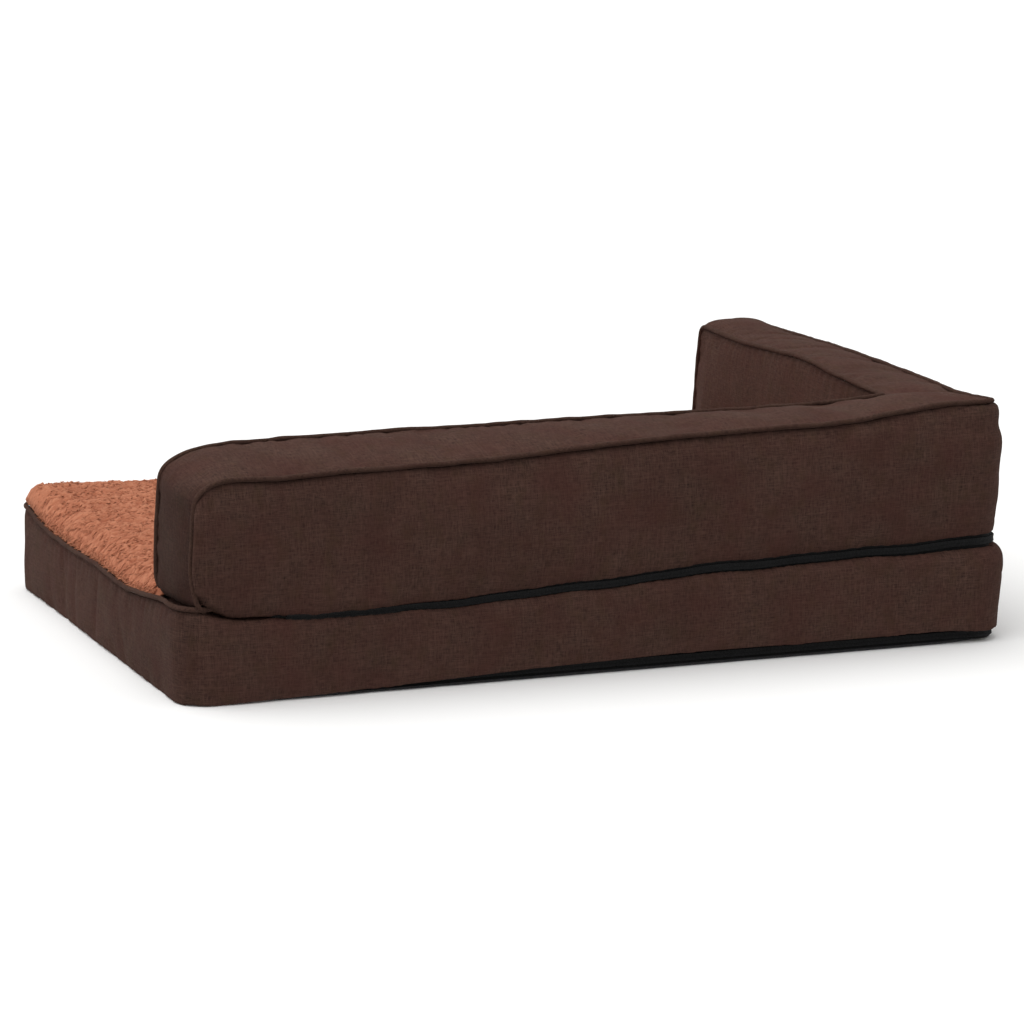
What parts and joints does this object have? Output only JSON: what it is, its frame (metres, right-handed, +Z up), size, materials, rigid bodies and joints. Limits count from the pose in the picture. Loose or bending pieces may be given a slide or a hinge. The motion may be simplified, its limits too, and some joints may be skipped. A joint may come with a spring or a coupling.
{
  "type": "pet cushion bed",
  "caption": "Rectangular foam pet mattress with a fleece top and a piped L-shaped bolster along the back and one end, with coil zips round the back corner.",
  "frame": {"origin": "on the floor, under the middle of the bed", "axes": "+X along the bed to its open end, +Y to the back, where the long arm of the bolster is, +Z up; the short arm is at -X"},
  "size_m": [0.75, 0.53, 0.21],
  "materials": {
    "foam": "open-cell foam, unseen inside the covers",
    "linen": "dark brown linen-look weave",
    "piping": "self-fabric covered cord",
    "fleece": "terracotta plush fleece",
    "anti_slip": "black non-slip fabric",
    "zip_tape": "black woven tape",
    "zip_coil": "black nylon coil",
    "zip_metal": "black enamel"
  },
  "bodies": {
    "bed": {"mattress_foam": "foam", "mattress_side_band": "linen", "mattress_fleece_top": "fleece", "mattress_base_panel": "anti_slip", "mattress_piping": "piping", "bolster_long_foam": "foam", "bolster_short_foam": "foam", "bolster_outer_panel": "linen", "bolster_inner_back_panel": "linen", "bolster_inner_right_panel": "linen", "bolster_top_band": "linen", "bolster_bottom_panel": "linen", "bolster_outer_piping": "piping", "bolster_inner_piping": "piping", "base_zip_upper_tape": "zip_tape", "base_zip_lower_tape": "zip_tape", "base_zip_upper_coil": "zip_coil", "base_zip_lower_coil": "zip_coil", "base_zip_upper_top_stop": "zip_metal", "base_zip_lower_top_stop": "zip_metal", "base_zip_bottom_stop": "zip_metal", "bolster_zip_upper_tape": "zip_tape", "bolster_zip_lower_tape": "zip_tape", "bolster_zip_upper_coil": "zip_coil", "bolster_zip_lower_coil": "zip_coil", "bolster_zip_upper_top_stop": "zip_metal", "bolster_zip_lower_top_stop": "zip_metal", "bolster_zip_bottom_stop": "zip_metal"},
    "base_slider": {"base_zip_slider": "zip_metal"},
    "base_pull": {"base_zip_pull": "zip_metal"},
    "bolster_slider": {"bolster_zip_slider": "zip_metal"},
    "bolster_pull": {"bolster_zip_pull": "zip_metal"}
  },
  "joints": [
    {"name": "base_zip_slide", "type": "slide", "parent": "bed", "child": "base_slider", "axis": [0, 1, 0], "range_m": [0, 0.39]},
    {"name": "base_pull_flip", "type": "hinge", "parent": "base_slider", "child": "base_pull", "pos_m": [-0.37275, -0.182, 0.0075], "axis": [0, 0, 1], "range_deg": [0, 180]},
    {"name": "bolster_zip_slide", "type": "slide", "parent": "bed", "child": "bolster_slider", "axis": [0, 1, 0], "range_m": [0, 0.39]},
    {"name": "bolster_pull_flip", "type": "hinge", "parent": "bolster_slider", "child": "bolster_pull", "pos_m": [-0.37275, -0.182, 0.0921], "axis": [0, 0, 1], "range_deg": [0, 180]}
  ]
}
